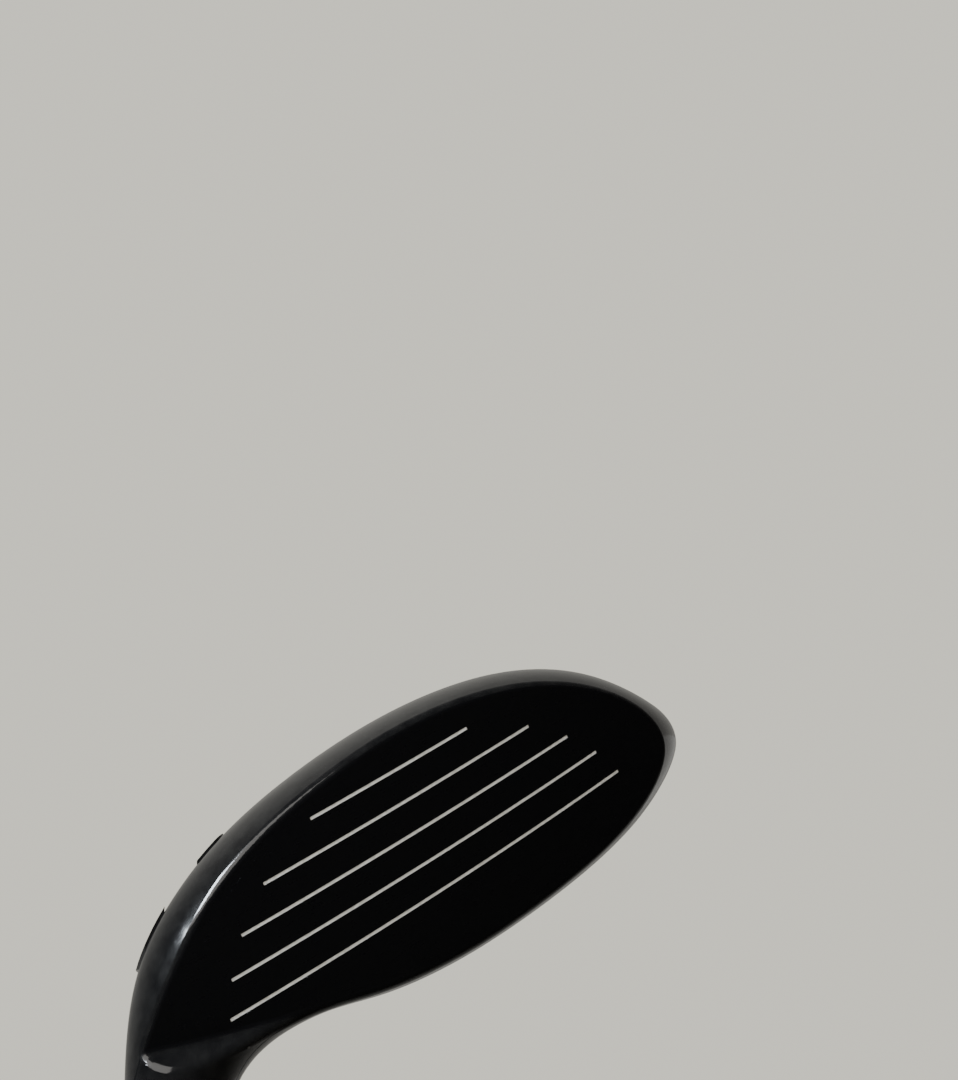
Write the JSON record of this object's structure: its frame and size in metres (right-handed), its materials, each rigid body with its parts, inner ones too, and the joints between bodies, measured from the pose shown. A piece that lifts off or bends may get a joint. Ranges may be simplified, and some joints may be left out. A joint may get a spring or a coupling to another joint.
{
  "type": "hybrid golf club",
  "caption": "Right-handed hybrid golf club: hollow black steel head with scored face, screw-on adjustable sleeve, graphite shaft and rubber grip.",
  "frame": {"origin": "centre of the grip cap's end face, on the shaft's centre line", "axes": "+Z along the shaft from the grip to the head, -Y the way the face looks, +X towards the toe"},
  "size_m": [0.1059, 0.0573, 1.046],
  "materials": {
    "gloss_black_steel": "gloss black paint with a clear coat on polished steel",
    "black_face_steel": "satin black face coating, fine milled texture",
    "white_paint": "matt white line paint",
    "crown_gloss_black": "gloss black crown panel",
    "badge_metal": "satin black etched plate without marks",
    "tungsten": "dull grey tungsten",
    "hot_melt": "amber hot-melt",
    "weight_steel": "turned dark steel",
    "nylon": "black nylon",
    "screw_steel": "black oxide steel",
    "washer_steel": "plain steel",
    "sleeve_aluminium": "black anodised aluminium",
    "epoxy": "cured epoxy film",
    "plug_plastic": "pale plastic",
    "ferrule_plastic": "polished black plastic",
    "ring_aluminium": "bright anodised ring",
    "graphite": "clear-coated black graphite",
    "tape": "double-sided paper tape",
    "grip_rubber": "moulded black rubber with a tread pattern",
    "cap_rubber": "smooth black rubber"
  },
  "bodies": {
    "shaft_unit": {"shaft": "graphite", "shaft_sleeve": "sleeve_aluminium", "tip_epoxy": "epoxy", "tip_plug": "plug_plastic", "ferrule": "ferrule_plastic", "ferrule_ring": "ring_aluminium", "grip_tape": "tape", "grip_sleeve": "grip_rubber", "grip_cap": "cap_rubber"},
    "head": {"head_body": "gloss_black_steel", "face_insert": "black_face_steel", "score_line_paint": "white_paint", "crown_shell": "crown_gloss_black", "sole_badge": "badge_metal", "tungsten_slug": "tungsten", "hot_melt_bead": "hot_melt"},
    "hosel_washer_ring": {"hosel_washer": "washer_steel"},
    "hosel_bolt": {"hosel_screw": "screw_steel"},
    "weight_washer_ring": {"back_weight_washer": "nylon"},
    "weight_bolt": {"back_weight": "weight_steel"}
  },
  "joints": [
    {"name": "head_pull", "type": "slide", "parent": "shaft_unit", "child": "head", "axis": [0, 0, 1], "range_m": [0, 0.045]},
    {"name": "hosel_washer_lift", "type": "slide", "parent": "head", "child": "hosel_washer_ring", "axis": [0, 0, 1], "range_m": [0, 0.0104]},
    {"name": "hosel_screw_turn", "type": "hinge", "parent": "hosel_washer_ring", "child": "hosel_bolt", "pos_m": [0, 0, 0.99], "axis": [0, 0, 1], "range_deg": [0, 4716]},
    {"name": "weight_washer_lift", "type": "slide", "parent": "head", "child": "weight_washer_ring", "axis": [-0.4653, 0.2588, 0.8464], "range_m": [0, 0.0096]},
    {"name": "back_weight_turn", "type": "hinge", "parent": "weight_washer_ring", "child": "weight_bolt", "pos_m": [0.03739, 0.02386, 1.03102], "axis": [-0.4653, 0.2588, 0.8464], "range_deg": [0, 3492]}
  ],
  "couplings": [
    {"joint": "hosel_screw_turn", "follows": "hosel_washer_lift", "rad_per_m": 7854},
    {"joint": "back_weight_turn", "follows": "weight_washer_lift", "rad_per_m": 6283.2}
  ]
}
